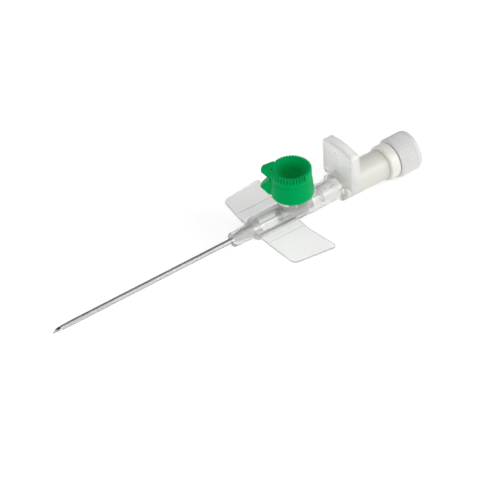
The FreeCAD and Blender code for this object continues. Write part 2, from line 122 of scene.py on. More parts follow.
class CannulaColours(bpy.types.PropertyGroup):
    """Colours of the materials."""
    clear_plastic: FloatVectorProperty(
        name="Clear plastic", description="Hub, wings and injection port",
        default=(0.95, 0.95, 0.945), size=3, min=0.0, max=1.0, subtype="COLOR")
    needle_hub_plastic: FloatVectorProperty(
        name="Needle hub plastic", description="Grip plate and blood chamber",
        default=(0.96, 0.955, 0.945), size=3, min=0.0, max=1.0, subtype="COLOR")
    tube_plastic: FloatVectorProperty(
        name="Tube plastic", description="Catheter tube",
        default=(0.95, 0.95, 0.945), size=3, min=0.0, max=1.0, subtype="COLOR")
    cap_green: FloatVectorProperty(
        name="Cap green", description="Port cap",
        default=(0.0, 0.4, 0.105), size=3, min=0.0, max=1.0, subtype="COLOR")
    milky: FloatVectorProperty(
        name="Milky plastic", description="Vent plug",
        default=(0.875, 0.865, 0.805), size=3, min=0.0, max=1.0, subtype="COLOR")
    cap_white: FloatVectorProperty(
        name="Cap white", description="Luer cap",
        default=(0.765, 0.755, 0.75), size=3, min=0.0, max=1.0, subtype="COLOR")
    silicone: FloatVectorProperty(
        name="Silicone", description="Valve sleeve in the port",
        default=(0.17, 0.165, 0.15), size=3, min=0.0, max=1.0, subtype="COLOR")
    steel: FloatVectorProperty(
        name="Steel", description="Needle and bush",
        default=(0.72, 0.71, 0.69), size=3, min=0.0, max=1.0, subtype="COLOR")
    floor: FloatVectorProperty(
        name="Floor", description="Pale floor under the object",
        default=(0.9, 0.9, 0.9), size=3, min=0.0, max=1.0, subtype="COLOR")


# Shapes, drawn in millimetres

MILLIMETRE = 0.001
# Distances at which points become one, in a drawing and in a finished piece
DRAWING_MERGE = 0.0004
PIECE_MERGE = 0.0006
# Points on one level differ by less than this in height
LEVEL = 0.0001
# A solid with fewer faces than this was lost while it was combined
LEAST_FACES = 12


def mm(length):
    """A length in metres, from the frame or the settings, in millimetres."""
    return length * 1000.0


def laid_along(first, second, third):
    """Matrix that lays the X, Y and Z axes along three directions."""
    return Matrix((first, second, third)).transposed().to_4x4()


def in_scene(name, data):
    """Object that holds a mesh, lamp or camera, linked to the scene."""
    item = bpy.data.objects.new(name, data)
    bpy.context.scene.collection.objects.link(item)
    return item


def softened(corners, closed, pieces=5, share=0.45):
    """Points of a profile in which a corner given as (a, b, cut) becomes a small curve.

    A cut takes up no more than a share of either side at its corner.
    """
    points = []
    count = len(corners)
    for index, corner in enumerate(corners):
        here = Vector(corner[:2])
        inner = closed or 0 < index < count - 1
        if len(corner) < 3 or corner[2] <= 0 or not inner:
            points.append(here)
            continue
        before = Vector(corners[index - 1][:2]) - here
        after = Vector(corners[(index + 1) % count][:2]) - here
        cut = min(corner[2], share * before.length, share * after.length)
        start = here + before.normalized() * cut
        end = here + after.normalized() * cut
        for step in range(pieces + 1):
            part = step / pieces
            points.append(start * (1 - part) ** 2
                          + here * (2 * part * (1 - part))
                          + end * part ** 2)
    return points


def new_piece(name, builder):
    """Object made from a bmesh whose faces are turned outwards."""
    bmesh.ops.remove_doubles(builder, verts=builder.verts, dist=DRAWING_MERGE)
    bmesh.ops.recalc_face_normals(builder, faces=builder.faces)
    mesh = bpy.data.meshes.new(name)
    builder.to_mesh(mesh)
    builder.free()
    return in_scene(name, mesh)


def turned(name, corners, along="X", centre=(0, 0, 0), closed=True, steps=96, sweep=None):
    """Solid of revolution from (distance along the axis, radius) corners.

    An open profile starts and ends on the axis, and a sweep is a first and a last angle.
    """
    builder = bmesh.new()
    profile = softened(corners, closed)
    start, end = sweep or (0.0, math.tau)
    whole = sweep is None
    rings = []
    for index in range(steps if whole else steps + 1):
        angle = start + (end - start) * index / steps
        ring = []
        for distance, radius in profile:
            if along == "X":
                spot = Vector((distance, radius * math.cos(angle), radius * math.sin(angle)))
            else:
                spot = Vector((radius * math.cos(angle), radius * math.sin(angle), distance))
            ring.append(builder.verts.new(spot + Vector(centre)))
        rings.append(ring)
    count = len(profile)
    for index in range(len(rings) if whole else len(rings) - 1):
        one, two = rings[index], rings[(index + 1) % len(rings)]
        for step in range(count if closed else count - 1):
            other = (step + 1) % count
            builder.faces.new((one[step], one[other], two[other], two[step]))
    if not whole:
        builder.faces.new(rings[0])
        builder.faces.new(rings[-1])
    bmesh.ops.remove_doubles(builder, verts=builder.verts, dist=DRAWING_MERGE)
    bmesh.ops.dissolve_degenerate(builder, edges=builder.edges, dist=DRAWING_MERGE)
    return new_piece(name, builder)


def slab(name, corners, low, high, soft=0.0, matrix=Matrix.Identity(4)):
    """Flat piece from an outline, its rims rounded, placed by a matrix."""
    builder = bmesh.new()
    outline = softened(corners, True)
    floor = [builder.verts.new((point.x, point.y, low)) for point in outline]
    roof = [builder.verts.new((point.x, point.y, high)) for point in outline]
    builder.faces.new(floor)
    builder.faces.new(roof)
    count = len(outline)
    for index in range(count):
        other = (index + 1) % count
        builder.faces.new((floor[index], floor[other], roof[other], roof[index]))
    bmesh.ops.recalc_face_normals(builder, faces=builder.faces)
    if soft > 0:
        rims = [edge for edge in builder.edges
                if abs(edge.verts[0].co.z - edge.verts[1].co.z) < LEVEL
                and len(edge.link_faces) == 2]
        bmesh.ops.bevel(builder, geom=rims, offset=soft, segments=4, profile=0.5,
                        affect="EDGES", clamp_overlap=True)
    bmesh.ops.transform(builder, matrix=matrix, verts=builder.verts)
    return new_piece(name, builder)


def plain_mesh(piece):
    """Turns a piece's modifiers into plain mesh."""
    graph = bpy.context.evaluated_depsgraph_get()
    mesh = bpy.data.meshes.new_from_object(piece.evaluated_get(graph))
    piece.modifiers.clear()
    piece.data = mesh


def combined(piece, tools, how):
    """Joins tools to a piece, cuts them out of it or trims it by them, and drops them."""
    for tool in tools:
        step = piece.modifiers.new("step", "BOOLEAN")
        step.operation = how
        step.solver = "EXACT"
        step.object = tool
        plain_mesh(piece)
        if len(piece.data.polygons) < LEAST_FACES:
            raise RuntimeError("%s was lost while %s was worked in" % (piece.name, tool.name))
        bpy.data.objects.remove(tool)


def settle(piece, body, material, stands_for=(), sharp=36.0):
    """Brings a finished piece to metres, shades it and lets it ride on its body."""
    builder = bmesh.new()
    builder.from_mesh(piece.data)
    bmesh.ops.remove_doubles(builder, verts=builder.verts, dist=PIECE_MERGE)
    bmesh.ops.dissolve_degenerate(builder, edges=builder.edges, dist=DRAWING_MERGE)
    builder.to_mesh(piece.data)
    builder.free()
    piece.data.transform(Matrix.Scale(MILLIMETRE, 4))
    piece.data.shade_smooth()
    piece.data.set_sharp_from_angle(angle=math.radians(sharp))
    piece.data.materials.clear()
    piece.data.materials.append(material)
    weighted = piece.modifiers.new("even_shading", "WEIGHTED_NORMAL")
    weighted.keep_sharp = True
    weighted.weight = 60
    plain_mesh(piece)
    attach(piece, body)
    if stands_for:
        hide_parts(*stands_for)


# Nodes, for materials, the world and ridges

def add_node(tree, kind, inputs=None, **settings):
    """New node with its settings made and its inputs set, or linked to an output."""
    node = tree.nodes.new(kind)
    for name, value in settings.items():
        setattr(node, name, value)
    for label, value in (inputs or {}).items():
        if isinstance(value, bpy.types.NodeSocket):
            tree.links.new(value, node.inputs[label])
        else:
            node.inputs[label].default_value = value
    return node


def spread(tree, source, low, high, start=0.0, stop=1.0, curve="LINEAR"):
    """Output that runs from low to high while its source runs from start to stop."""
    node = add_node(tree, "ShaderNodeMapRange", {
        "Value": source, "From Min": start, "From Max": stop, "To Min": low, "To Max": high,
    }, interpolation_type=curve)
    return node.outputs["Result"]


def calculated(tree, operation, *values):
    """Output of a maths node, worked out from numbers or outputs."""
    node = add_node(tree, "ShaderNodeMath", dict(enumerate(values)), operation=operation)
    return node.outputs["Value"]


# Ridges round an axis, for the lid's teeth and the white cap's grip

def ridge_tree():
    """Node tree that sets ridges round the Z axis, a step apart from a first angle."""
    tree = bpy.data.node_groups.new("ridges_round_an_axis", "GeometryNodeTree")
    sockets = {}
    for label, kind, value in (
            ("Count", "NodeSocketInt", 12), ("First angle", "NodeSocketFloat", 0.0),
            ("Step angle", "NodeSocketFloat", 0.3), ("Ring radius", "NodeSocketFloat", 4.0),
            ("Ridge radius", "NodeSocketFloat", 0.3), ("Ridge end radius", "NodeSocketFloat", 0.2),
            ("Ridge length", "NodeSocketFloat", 2.0), ("Base level", "NodeSocketFloat", 0.0),
            ("Material", "NodeSocketMaterial", None)):
        socket = tree.interface.new_socket(label, in_out="INPUT", socket_type=kind)
        if value is not None:
            socket.default_value = value
        sockets[label] = socket.identifier
    tree.interface.new_socket("Geometry", in_out="OUTPUT", socket_type="NodeSocketGeometry")
    given = add_node(tree, "NodeGroupInput").outputs
    line = add_node(tree, "GeometryNodeMeshLine", {"Count": given["Count"]})
    index = add_node(tree, "GeometryNodeInputIndex").outputs["Index"]
    turn = calculated(tree, "MULTIPLY_ADD", index, given["Step angle"], given["First angle"])
    direction = add_node(tree, "ShaderNodeCombineXYZ", {
        "X": calculated(tree, "COSINE", turn), "Y": calculated(tree, "SINE", turn)})
    reach = add_node(tree, "ShaderNodeVectorMath", {
        0: direction.outputs["Vector"], "Scale": given["Ring radius"]}, operation="SCALE")
    base = add_node(tree, "ShaderNodeCombineXYZ", {"Z": given["Base level"]})
    place = add_node(tree, "ShaderNodeVectorMath", {
        0: reach.outputs["Vector"], 1: base.outputs["Vector"]}, operation="ADD")
    ring = add_node(tree, "GeometryNodeSetPosition", {
        "Geometry": line.outputs["Mesh"], "Position": place.outputs["Vector"]})
    ridge = add_node(tree, "GeometryNodeMeshCone", {
        "Vertices": 14, "Side Segments": 1, "Radius Top": given["Ridge end radius"],
        "Radius Bottom": given["Ridge radius"], "Depth": given["Ridge length"]})
    facing = add_node(tree, "ShaderNodeCombineXYZ", {"Z": turn})
    row = add_node(tree, "GeometryNodeInstanceOnPoints", {
        "Points": ring.outputs["Geometry"], "Instance": ridge.outputs["Mesh"],
        "Rotation": facing.outputs["Vector"]})
    solid = add_node(tree, "GeometryNodeRealizeInstances", {"Geometry": row.outputs["Instances"]})
    coat = add_node(tree, "GeometryNodeSetMaterial", {
        "Geometry": solid.outputs["Geometry"], "Material": given["Material"]})
    add_node(tree, "NodeGroupOutput", {"Geometry": coat.outputs["Geometry"]})
    return tree, sockets


def ridges(name, tree, sockets, values):
    """Mesh object holding one run of ridges."""
    piece = in_scene(name, bpy.data.meshes.new(name))
    maker = piece.modifiers.new("ridges", "NODES")
    maker.node_group = tree
    for label, value in values.items():
        maker[sockets[label]] = value
    plain_mesh(piece)
    return piece


def merged(name, pieces):
    """One object from several, their meshes laid together."""
    builder = bmesh.new()
    for piece in pieces:
        builder.from_mesh(piece.data)
        bpy.data.objects.remove(piece)
    mesh = bpy.data.meshes.new(name)
    builder.to_mesh(mesh)
    builder.free()
    return in_scene(name, mesh)


# Materials

# Values of a noise between which the roughness and the colour change
ROUGHNESS_RANGE = (0.3, 0.7)
COLOUR_RANGE = (0.32, 0.68)


class Finish:
    """A node material built up from its principled shader."""

    def __init__(self, name):
        self.material = bpy.data.materials.new(name)
        self.material.use_nodes = True
        self.tree = self.material.node_tree
        self.shader = self.tree.nodes["Principled BSDF"]
        self.place = add_node(self.tree, "ShaderNodeTexCoord").outputs["Object"]

    def set(self, **values):
        """Sets the shader's inputs, their names written with underscores."""
        for label, value in values.items():
            self.shader.inputs[label.replace("_", " ")].default_value = value

    def give(self, label, source):
        """Links an output to one of the shader's inputs."""
        self.tree.links.new(source, self.shader.inputs[label])

    def given(self, label):
        """Output that one of the shader's inputs is linked to."""
        return self.shader.inputs[label].links[0].from_socket

    def stretched(self, scale):
        """Place on the piece, scaled by a factor along each axis."""
        mapping = add_node(self.tree, "ShaderNodeMapping", {"Vector": self.place, "Scale": scale})
        return mapping.outputs["Vector"]

    def noise(self, scale, detail=3.0, place=None):
        """Noise over the place on the piece, its scale in waves a metre."""
        texture = add_node(self.tree, "ShaderNodeTexNoise", {
            "Vector": place or self.place, "Scale": scale, "Detail": detail})
        return texture.outputs["Fac"]

    def colour(self, source, first, second):
        """Colours the shader from first to second by a noise."""
        ramp = add_node(self.tree, "ShaderNodeValToRGB", {"Fac": source})
        for element, position, tone in zip(
                ramp.color_ramp.elements, COLOUR_RANGE, (first, second)):
            element.position = position
            element.color = (*tone, 1.0)
        self.give("Base Color", ramp.outputs["Color"])

    def rough(self, source, low, high):
        """Varies the roughness from low to high by a noise."""
        self.give("Roughness", spread(self.tree, source, low, high, *ROUGHNESS_RANGE))

    def bump(self, source, strength, distance):
        """Shades the surface as if a noise raised it by up to a distance in metres."""
        relief = add_node(self.tree, "ShaderNodeBump", {
            "Strength": strength, "Distance": distance, "Height": source})
        self.give("Normal", relief.outputs["Normal"])


def shade(colour, amount):
    """A colour made darker or lighter by a factor."""
    return tuple(max(0.0, min(1.0, part * amount)) for part in colour)


def clear_plastic(name, colour, clearness, density, roughness, shadow=0.12):
    """Clear moulding: flow marks, a softly uneven gloss, a slight haze.

    It is greyer where it is thick, and casts only a share of its shadow.
    """
    finish = Finish(name)
    finish.set(IOR=1.45, Transmission_Weight=clearness)
    flow = finish.noise(90.0, 2.0, finish.stretched((0.5, 2.2, 2.2)))
    finish.colour(flow, shade(colour, 0.98), shade(colour, 1.01))
    finish.rough(finish.noise(260.0), *roughness)
    finish.bump(finish.noise(700.0, 2.0), strength=0.05, distance=0.00002)
    path = add_node(finish.tree, "ShaderNodeLightPath")
    finish.give("Alpha", spread(finish.tree, path.outputs["Is Shadow Ray"], 1.0, shadow))
    inside = add_node(finish.tree, "ShaderNodeVolumeAbsorption", {
        "Color": (0.3, 0.3, 0.3, 1.0), "Density": density})
    output = finish.tree.nodes["Material Output"]
    finish.tree.links.new(inside.outputs["Volume"], output.inputs["Volume"])
    return finish


def tinted(finish, share, colour):
    """Mixes a second colour in by a share."""
    tone = add_node(finish.tree, "ShaderNodeMix", {
        "Factor": share, "A": finish.given("Base Color"), "B": (*colour, 1.0)}, data_type="RGBA")
    finish.give("Base Color", tone.outputs["Result"])
    return finish


def painted_dark_rim(finish, colour, start=0.3, stop=0.55):
    """Darkens a thin clear tube's colour towards its outline: a painted dark rim, for the dark
    surroundings seen through its edge.
    """
    facing = add_node(finish.tree, "ShaderNodeLayerWeight").outputs["Facing"]
    return tinted(finish, spread(finish.tree, facing, 0.0, 1.0, start, stop), colour)


def frosted(finish, axis, start, colour, clearness, roughness, edge=0.0004):
    """Turns a clear moulding matt and milky further out than a place on one axis."""
    split = add_node(finish.tree, "ShaderNodeSeparateXYZ", {"Vector": finish.place})
    distance = calculated(finish.tree, "ABSOLUTE", split.outputs[axis])
    beyond = spread(finish.tree, distance, 0.0, 1.0, start, start + edge)
    inner = finish.shader.inputs["Transmission Weight"].default_value
    finish.give("Transmission Weight", spread(finish.tree, beyond, inner, clearness))
    finish.give("Roughness", spread(finish.tree, beyond, finish.given("Roughness"), roughness))
    return tinted(finish, beyond, colour)


def solid_plastic(name, colour, roughness, grain, relief, clouding=0.05, **values):
    """Opaque moulding: fine mould grain, slight clouding of colour and gloss."""
    finish = Finish(name)
    finish.set(IOR=1.48, **values)
    clouds = finish.noise(160.0, 4.0)
    finish.colour(clouds, shade(colour, 1 - clouding), shade(colour, 1 + clouding))
    finish.rough(finish.noise(420.0, 4.0), *roughness)
    finish.bump(finish.noise(grain, 3.0), strength=relief, distance=0.00003)
    return finish


def painted_shade_around(finish, centre, near, far, colour):
    """Mixes a second, darker colour in around a place: painted shade, as where a hollow lies in
    shadow.
    """
    apart = add_node(finish.tree, "ShaderNodeVectorMath", {0: finish.place, 1: centre},
                     operation="DISTANCE")
    share = spread(finish.tree, apart.outputs["Value"], 1.0, 0.0, near, far)
    return tinted(finish, share, colour)


def ground_steel(name, colour):
    """Drawn and ground steel: fine lines along the tube."""
    finish = Finish(name)
    finish.set(Metallic=1.0)
    lines = finish.noise(900.0, 3.0, finish.stretched((0.06, 3.0, 3.0)))
    finish.colour(lines, shade(colour, 0.82), shade(colour, 1.15))
    finish.rough(lines, 0.14, 0.22)
    finish.bump(lines, strength=0.05, distance=0.00001)
    return finish


def hub_plastic(name, scene):
    """Clear plastic of the hub, matt on the wings."""
    colour = scene.cannula_colours.clear_plastic
    finish = clear_plastic(name, colour, clearness=0.83, density=22.0, roughness=(0.17, 0.26))
    return frosted(finish, "Y", start=0.0042, colour=shade(colour, 0.95),
                   clearness=0.8, roughness=0.24)


def grip_plastic(name, scene):
    """Hazier plastic of the needle hub, milky from the grip plate backwards."""
    tints = scene.cannula_colours
    finish = clear_plastic(name, tints.needle_hub_plastic, clearness=0.6, density=15.0,
                           roughness=(0.26, 0.36))
    return frosted(finish, "X", start=0.0336, colour=tints.milky, clearness=0.3, roughness=0.34)


def tube_plastic(name, scene):
    """Glossy plastic of the catheter tube, with a painted dark rim towards its outline."""
    colour = scene.cannula_colours.tube_plastic
    finish = clear_plastic(name, colour, clearness=0.96, density=150.0, roughness=(0.03, 0.07))
    # Painted shade: the tube's colour turns dark grey towards its outline
    return painted_dark_rim(finish, shade(colour, 0.25))


def valve_silicone(name, scene):
    """Dull silicone of the valve sleeve."""
    return solid_plastic(name, scene.cannula_colours.silicone, roughness=(0.5, 0.7),
                         grain=500.0, relief=0.2)


def green_plastic(name, scene):
    """Green plastic of the port cap, with painted shade in the middle of the dish."""
    finish = solid_plastic(
        name, scene.cannula_colours.cap_green, roughness=(0.28, 0.4), grain=900.0, relief=0.15,
        clouding=0.08, Specular_IOR_Level=0.06, Specular_Tint=(0.02, 0.9, 0.5, 1.0))
    dish = (scene.cannula_sizes.port_place, 0.0, LID_HIGH.z + 0.0002)
    # Painted shade: the dish darkens towards its middle, standing in for the shadow of its rim
    return painted_shade_around(finish, dish, near=0.0025, far=0.0043, colour=(0.0, 0.22, 0.04))


def milky_plastic(name, scene):
    """Milky plastic of the vent plug, which light enters."""
    return solid_plastic(
        name, scene.cannula_colours.milky, roughness=(0.24, 0.36), grain=600.0, relief=0.1,
        clouding=0.02, Subsurface_Weight=0.4, Subsurface_Radius=(0.0012, 0.0012, 0.0011))


def white_plastic(name, scene):
    """White plastic of the luer cap, which light enters a little."""
    return solid_plastic(
        name, scene.cannula_colours.cap_white, roughness=(0.32, 0.45), grain=800.0, relief=0.15,
        clouding=0.02, Subsurface_Weight=0.2, Subsurface_Radius=(0.0006, 0.0006, 0.0006))


def porous_white(name, scene):
    """Rough, porous white of the filter."""
    return solid_plastic(name, scene.cannula_colours.cap_white, roughness=(0.8, 0.95),
                         grain=2600.0, relief=0.9, clouding=0.08)


def needle_steel(name, scene):
    """Bright steel of the needle."""
    return ground_steel(name, scene.cannula_colours.steel)


def bush_steel(name, scene):
    """Darker steel of the bush in the nose."""
    return ground_steel(name, shade(scene.cannula_colours.steel, 0.7))


MATERIALS = {
    "clear_hub": hub_plastic, "clear_needle_hub": grip_plastic, "clear_tube": tube_plastic,
    "silicone": valve_silicone, "green_cap": green_plastic, "milky_plug": milky_plastic,
    "white_cap": white_plastic, "filter": porous_white, "steel": needle_steel,
    "bush_steel": bush_steel,
}


def materials(scene):
    """The object's materials, made once and then found again by name."""
    found = {}
    for name, make in MATERIALS.items():
        own_name = "cannula_" + name
        found[name] = bpy.data.materials.get(own_name) or make(own_name, scene).material
    return found


# Pieces

# Luer fittings, in millimetres and radians
LUER_MOUTH = 2.145
LUER_CHAMFER = 2.4
LUG_RADIUS = 3.85
LUG_HALF_ANGLE = math.radians(28)
# How far a cutting tool runs past the solid that it cuts
PAST = 1.0


def lock_lugs(name, end, root):
    """The two lugs of a luer lock, on opposite sides of a socket that ends at a place."""
    front = end - 1.1
    back = end - 0.03
    lugs = []
    for middle in (0.0, math.pi):
        lugs.append(turned(name, [
            (front, root), (front, LUG_RADIUS, 0.2), (back, LUG_RADIUS, 0.2), (back, root),
        ], steps=20, sweep=(middle - LUG_HALF_ANGLE, middle + LUG_HALF_ANGLE)))
    return lugs


class CANNULA_OT_tube(bpy.types.Operator):
    """Catheter tube and the steel bush that holds its flare"""
    bl_idname = "cannula.tube"
    bl_label = "Catheter tube"

    def execute(self, context):
        stuff = materials(context.scene)
        front = mm(TUBE_LOW.x)
        back = mm(TUBE_HIGH.x)
        outer = 0.65
        tube = turned("tube", [
            (front, 0.512), (front, 0.56, 0.04), (front + 1.0, 0.6, 0.5), (front + 3.0, outer, 0.9),
            (0.0, outer, 0.1), (back, 1.344), (back, 1.206), (0.0, 0.51, 0.1),
        ], steps=64)
        settle(tube, "cannula", stuff["clear_tube"], ["catheter_tube"])

        low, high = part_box("catheter_bush")
        throat = mm(low.x)
        end = mm(high.x)
        rim = mm(high.z)
        wall = 0.1
        lip = 0.5
        bush = turned("bush", [
            (throat, 0.54, 0.03), (throat, 0.638, 0.03), (end - lip, rim, 0.15), (end, rim, 0.03),
            (end, rim - wall, 0.03), (end - lip, rim - wall, 0.15),
        ], steps=64)
        settle(bush, "cannula", stuff["bush_steel"], ["catheter_bush"])
        return {"FINISHED"}


class CANNULA_OT_hub(bpy.types.Operator):
    """Clear hub: nose, barrel, wings, injection port and rear socket in one moulding"""
    bl_idname = "cannula.hub"
    bl_label = "Hub with wings"

    def wing(self, sizes, side):
        """One wing: a rounded sheet that thickens into the barrel, with its fold line."""
        half = mm(sizes.wing_thickness) / 2
        thick = half + mm(sizes.wing_root_fillet)
        swell = half + 0.2 * mm(sizes.wing_root_fillet)
        thin = half - 0.04
        hang = Matrix.Translation((0, 0, 0.65)) @ Matrix.Rotation(-side * sizes.wing_droop, 4, "X")
        sheet = slab("wing", [
            (5.7, side * 1.9), (5.7, side * 2.95, 0.2), (6.3, side * 7.6, 0.8),
            (7.5, side * 14.35, 1.45), (19.0, side * 15.86, 1.45), (16.7, side * 7.6, 0.8),
            (16.5, side * 2.95, 0.2), (16.5, side * 1.9),
        ], -half, half, mm(sizes.softness), hang)

        section = hang @ laid_along(side * Y_AXIS, Z_AXIS, X_AXIS)
        root = slab("wing_root", [
            (2.0, thick), (2.7, thick, 0.3), (3.4, swell, 0.5), (4.6, thin),
            (4.6, -thin), (3.4, -swell, 0.5), (2.7, -thick, 0.3), (2.0, -thick),
        ], 5.9, 16.3, matrix=section)
        bottom = half - 0.1
        groove = slab("fold", [
            (6.3, bottom, 0.08), (7.0, bottom, 0.08), (7.15, half + 0.4), (6.15, half + 0.4),
        ], 3.0, 22.0, matrix=section)
        combined(sheet, [root], "UNION")
        combined(sheet, [groove], "DIFFERENCE")
        return sheet

    def execute(self, context):
        sizes = context.scene.cannula_sizes
        stuff = materials(context.scene)
        soft = mm(sizes.softness)
        barrel = mm(sizes.barrel_radius)
        lumen = mm(sizes.lumen_radius)
        end = mm(HUB_HIGH.x)
        top = mm(HUB_HIGH.z)
        port = (mm(sizes.port_place), 0, 0)
        neck = 3.0
        bead = 3.25
        boss = 3.7
        hub = turned("hub", [
            (0.15, 0), (0.15, 1.75, 0.35), (5.4, 1.95, 0.5), (6.5, barrel, 0.6),
            (end, barrel, soft), (end, 0),
        ], closed=False, steps=128)
        stem = turned("port_stem", [
            (0.0, 0), (0.0, boss), (4.8, boss, 0.5), (4.8, neck, 0.1), (6.12, neck),
            (6.12, bead, 0.04), (6.2, bead, 0.04), (7.05, neck, 0.2), (top, neck, soft), (top, 0),
        ], along="Z", centre=port, closed=False)
        lugs = lock_lugs("lug", end, root=2.4)
        wings = [self.wing(sizes, side) for side in (1, -1)]
        combined(hub, [stem] + wings + lugs, "UNION")

        inlet = 0.66
        seat = end - 7.5
        channel = turned("channel", [
            (-PAST, 0), (-PAST, inlet), (0.0, inlet), (6.4, lumen, 0.4), (seat, lumen),
            (seat, 1.925), (end - 0.15, LUER_MOUTH), (end + 0.1, LUER_CHAMFER),
            (end + PAST, LUER_CHAMFER), (end + PAST, 0),
        ], closed=False)
        cross = 0.7
        floor = 4.3
        mouth = turned("mouth", [
            (0.0, 0), (0.0, cross), (floor, cross), (floor, 1.9925), (top - 0.15, LUER_MOUTH),
            (top + 0.1, LUER_CHAMFER), (top + PAST, LUER_CHAMFER), (top + PAST, 0),
        ], along="Z", centre=port, closed=False)
        combined(hub, [channel, mouth], "DIFFERENCE")
        settle(hub, "cannula", stuff["clear_hub"], ["catheter_hub"])
        return {"FINISHED"}


class CANNULA_OT_valve(bpy.types.Operator):
    """Silicone sleeve that closes the injection port from inside the barrel"""
    bl_idname = "cannula.valve"
    bl_label = "Valve sleeve"

    def execute(self, context):
        stuff = materials(context.scene)
        low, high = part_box("port_valve")
        front = mm(low.x)
        back = mm(high.x)
        outer = mm(high.z)
        inner = outer - 0.45
        sleeve = turned("valve_sleeve", [
            (front, inner, 0.1), (front, outer, 0.12), (back, outer, 0.12), (back, inner, 0.1),
        ], steps=64)
        settle(sleeve, "cannula", stuff["silicone"], ["port_valve"])
        return {"FINISHED"}


class CANNULA_OT_port_cap(bpy.types.Operator):
    """Green port cap: its turning collar, the dished lid with teeth and the hinge ears"""
    bl_idname = "cannula.port_cap"
    bl_label = "Port cap"

    def ear(self, name, corners, soft):
        """One half of the hinge: a wedge that narrows and leans to one side towards its tip."""
        wedge = slab(name, corners, -2.0, 2.0, matrix=laid_along(X_AXIS, Z_AXIS, Y_AXIS))
        tip = max(corner[0] for corner in corners)
        outline = slab(name + "_outline", [
            (3.0, -1.4), (4.7, -1.4, 0.3), (tip, 0.1, 0.3), (tip, 1.6, 0.3),
            (4.7, 1.9, 0.3), (3.0, 1.9),
        ], 0.0, 20.0, soft)
        combined(wedge, [outline], "INTERSECT")
        return wedge

    def collar(self, soft, stand, stuff):
        """The collar that turns on the port's neck, with the lower ear."""
        bottom = mm(RING_LOW.z)
        seam = mm(RING_HIGH.z)
        bore = 3.06
        recess = 3.85
        shoulder = bottom + 1.2
        collar = turned("cap_collar", [
            (bottom, bore, 0.08), (bottom, 5.2, 1.8), (seam, 4.79, 0.1), (seam, recess, 0.12),
            (shoulder, recess, 0.3), (shoulder, bore, 0.08),
        ], along="Z", steps=128)
        lower_ear = self.ear("lower_ear", [
            (4.2, 9.35), (4.95, 9.35, 0.12), (7.3, 7.0, 0.12), (7.3, 6.75, 0.1),
            (5.2, 4.95, 0.2), (4.2, 4.95),
        ], soft)
        combined(collar, [lower_ear], "UNION")
        collar.data.transform(stand)
        settle(collar, "cap_ring", stuff["green_cap"], ["port_cap_collar"])

    def film(self, stand, stuff):
        """The thin film at the root of the notch, on which the lid opens."""
        half = 1.3
        radius = 0.2
        film = turned("hinge_film", [
            (-half, 0), (-half, radius, 0.08), (half, radius, 0.08), (half, 0),
        ], closed=False, steps=20)
        place = Matrix.Translation((4.95, 0, 9.68))
        film.data.transform(stand @ place @ Matrix.Rotation(math.pi / 2, 4, "Z"))
        settle(film, "cap_ring", stuff["green_cap"])

    def lid(self, sizes, stand, stuff):
        """The dished lid with its stopper, the upper ear and the teeth at its rim."""
        foot = mm(RING_HIGH.z) + 0.03
        top = mm(LID_HIGH.z)
        band = top - 1.5
        skirt = 4.74
        rim = 4.38
        gate = mm(sizes.gate_radius)
        gate_top = top - 1.46
        stopper = foot - 1.8
        lid = turned("cap_lid", [
            (stopper, 0), (stopper, 1.6, 0.25), (foot, 2.08), (foot, skirt, 0.08),
            (band, skirt, 0.12), (band + 0.2, rim, 0.1), (top, rim, 0.08), (top, 4.1, 0.08),
            (top - 0.75, 3.8, 0.5), (top - 1.3, 2.7, 0.9), (top - 1.6, 1.2, 0.7),
            (top - 1.66, gate + 0.15, 0.08), (top - 1.6, gate, 0.05), (gate_top, gate, 0.08),
            (gate_top, 0),
        ], along="Z", closed=False, steps=128)
        upper_ear = self.ear("upper_ear", [
            (4.3, 9.77), (4.95, 9.77, 0.12), (6.9, 11.2, 0.15), (6.9, 12.0, 0.15),
            (4.9, 12.4, 0.3), (4.3, 12.4),
        ], mm(sizes.softness))
        last = sizes.tooth_start + sizes.tooth_step * (sizes.tooth_count - 1)
        gap = 0.1
        plain = turned("plain_rim", [
            (foot + 0.2, 4.25), (foot + 0.2, 4.73, 0.1), (top - 0.01, 4.73, 0.2),
            (top - 0.01, 4.25),
        ], along="Z", steps=24, sweep=(last + gap, math.tau - last - gap))
        combined(lid, [upper_ear, plain], "UNION")
        lid.data.transform(stand)
        settle(lid, "cap_lid", stuff["green_cap"], ["port_cap_lid"])

        tree, sockets = ridge_tree()
        tooth = mm(sizes.tooth_radius)
        rows = []
        for sign in (1, -1):
            rows.append(ridges("tooth_row", tree, sockets, {
                "Count": sizes.tooth_count, "First angle": sign * sizes.tooth_start,
                "Step angle": sign * sizes.tooth_step, "Ring radius": skirt - tooth,
                "Ridge radius": tooth, "Ridge end radius": tooth * 0.9,
                "Ridge length": top - band - 0.05, "Base level": band,
                "Material": stuff["green_cap"]}))
        teeth = merged("cap_teeth", rows)
        teeth.data.transform(stand)
        settle(teeth, "cap_lid", stuff["green_cap"], sharp=50.0)

    def execute(self, context):
        sizes = context.scene.cannula_sizes
        stuff = materials(context.scene)
        port = Matrix.Translation((mm(sizes.port_place), 0, 0))
        stand = port @ Matrix.Rotation(sizes.cap_turn, 4, "Z")
        self.collar(mm(sizes.softness), stand, stuff)
        self.film(stand, stuff)
        self.lid(sizes, stand, stuff)
        return {"FINISHED"}


